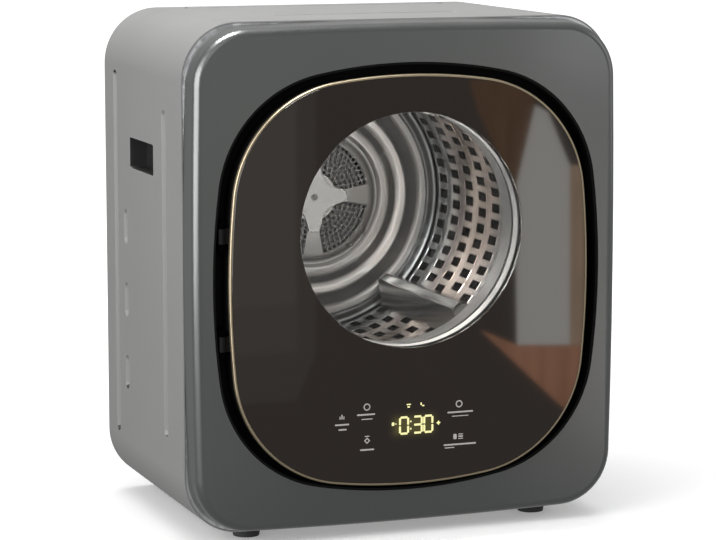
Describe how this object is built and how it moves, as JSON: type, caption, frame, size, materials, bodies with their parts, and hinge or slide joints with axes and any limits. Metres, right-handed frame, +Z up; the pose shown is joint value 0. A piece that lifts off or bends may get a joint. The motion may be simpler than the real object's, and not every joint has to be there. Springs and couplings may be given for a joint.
{
  "type": "compact tumble dryer",
  "caption": "Compact front-loading tumble dryer with a rounded box body, a full-face dark glass door with a round window, and a perforated steel drum.",
  "frame": {"origin": "on the floor, under the middle of the machine's bounding box", "axes": "+Z up, +X to the right seen from the front, +Y from the front to the rear"},
  "size_m": [0.43, 0.312, 0.487],
  "materials": {
    "cabinet_paint": "satin light grey paint",
    "bezel_plastic": "satin dark grey plastic",
    "black_plastic": "matt black plastic",
    "grey_plastic": "matt grey plastic",
    "foot_rubber": "matt black rubber",
    "felt": "grey wool felt",
    "zinc_steel": "zinc plated sheet",
    "drum_steel": "bright stainless steel",
    "hub_plastic": "satin pale grey plastic",
    "shaft_steel": "turned steel",
    "motor_paint": "grey paint",
    "tinted_glass": "polished dark tinted glass",
    "clear_glass": "polished clear glass",
    "trim_metal": "champagne anodised aluminium",
    "magnet": "black ferrite",
    "heater_fins": "bare aluminium fins",
    "board": "green board",
    "display": "black display block",
    "mesh": "fine woven mesh"
  },
  "bodies": {
    "cabinet": {"cabinet_wrap": "cabinet_paint", "grip_cup_left": "black_plastic", "grip_cup_right": "black_plastic", "rubber_feet": "foot_rubber", "foot_screws": "zinc_steel", "base_plate": "zinc_steel", "front_bezel": "bezel_plastic", "front_bulkhead": "zinc_steel", "bezel_screws": "zinc_steel", "door_well": "black_plastic", "port_collar": "drum_steel", "drum_felt": "felt", "strike_plate": "zinc_steel", "door_switch": "black_plastic", "hinge_bracket_lower": "black_plastic", "hinge_bracket_upper": "black_plastic", "hinge_pins": "zinc_steel", "rear_panel": "cabinet_paint", "panel_screws": "zinc_steel", "cord_gland": "black_plastic", "drum_bearing": "shaft_steel", "bearing_housing": "zinc_steel", "air_channel": "grey_plastic", "filter_tunnel": "grey_plastic", "blower_scroll": "grey_plastic", "exhaust_duct": "grey_plastic", "motor_housing": "motor_paint", "motor_bracket": "zinc_steel", "drive_belt": "foot_rubber", "heater_duct": "zinc_steel", "heater_element": "heater_fins", "control_case": "black_plastic", "control_board": "board"},
    "door": {"door_frame": "black_plastic", "trim_ring": "trim_metal", "outer_glass": "tinted_glass", "window_mask": "black_plastic", "window_ring": "hub_plastic", "door_liner": "black_plastic", "inner_pane": "clear_glass", "door_magnet": "magnet", "door_gasket": "foot_rubber", "touch_board": "board", "display_module": "display"},
    "drum": {"drum_front": "drum_steel", "drum_wrapper": "drum_steel", "drum_back": "drum_steel", "hub_cover": "hub_plastic", "hub_bolt": "shaft_steel", "drum_spider": "zinc_steel", "drum_shaft": "shaft_steel", "lifter_1": "drum_steel", "lifter_2": "drum_steel", "lifter_3": "drum_steel"},
    "rotor": {"motor_shaft": "shaft_steel", "motor_pulley": "grey_plastic", "blower_wheel": "grey_plastic"},
    "filter": {"lint_filter_frame": "grey_plastic", "lint_filter_mesh": "mesh"}
  },
  "joints": [
    {"name": "door_hinge", "type": "hinge", "parent": "cabinet", "child": "door", "pos_m": [-0.1845, -0.149, 0.243], "axis": [0, 0, -1], "range_deg": [0, 105]},
    {"name": "drum_spin", "type": "hinge", "parent": "cabinet", "child": "drum", "pos_m": [0, 0, 0.291], "axis": [0, 1, 0], "continuous": true},
    {"name": "motor_spin", "type": "hinge", "parent": "cabinet", "child": "rotor", "pos_m": [0.096, 0, 0.081], "axis": [0, 1, 0], "continuous": true},
    {"name": "filter_slide", "type": "slide", "parent": "cabinet", "child": "filter", "axis": [0, 1, 0], "range_m": [0, 0.065]}
  ],
  "couplings": [
    {"joint": "motor_spin", "follows": "drum_spin", "ratio": 11.325}
  ]
}
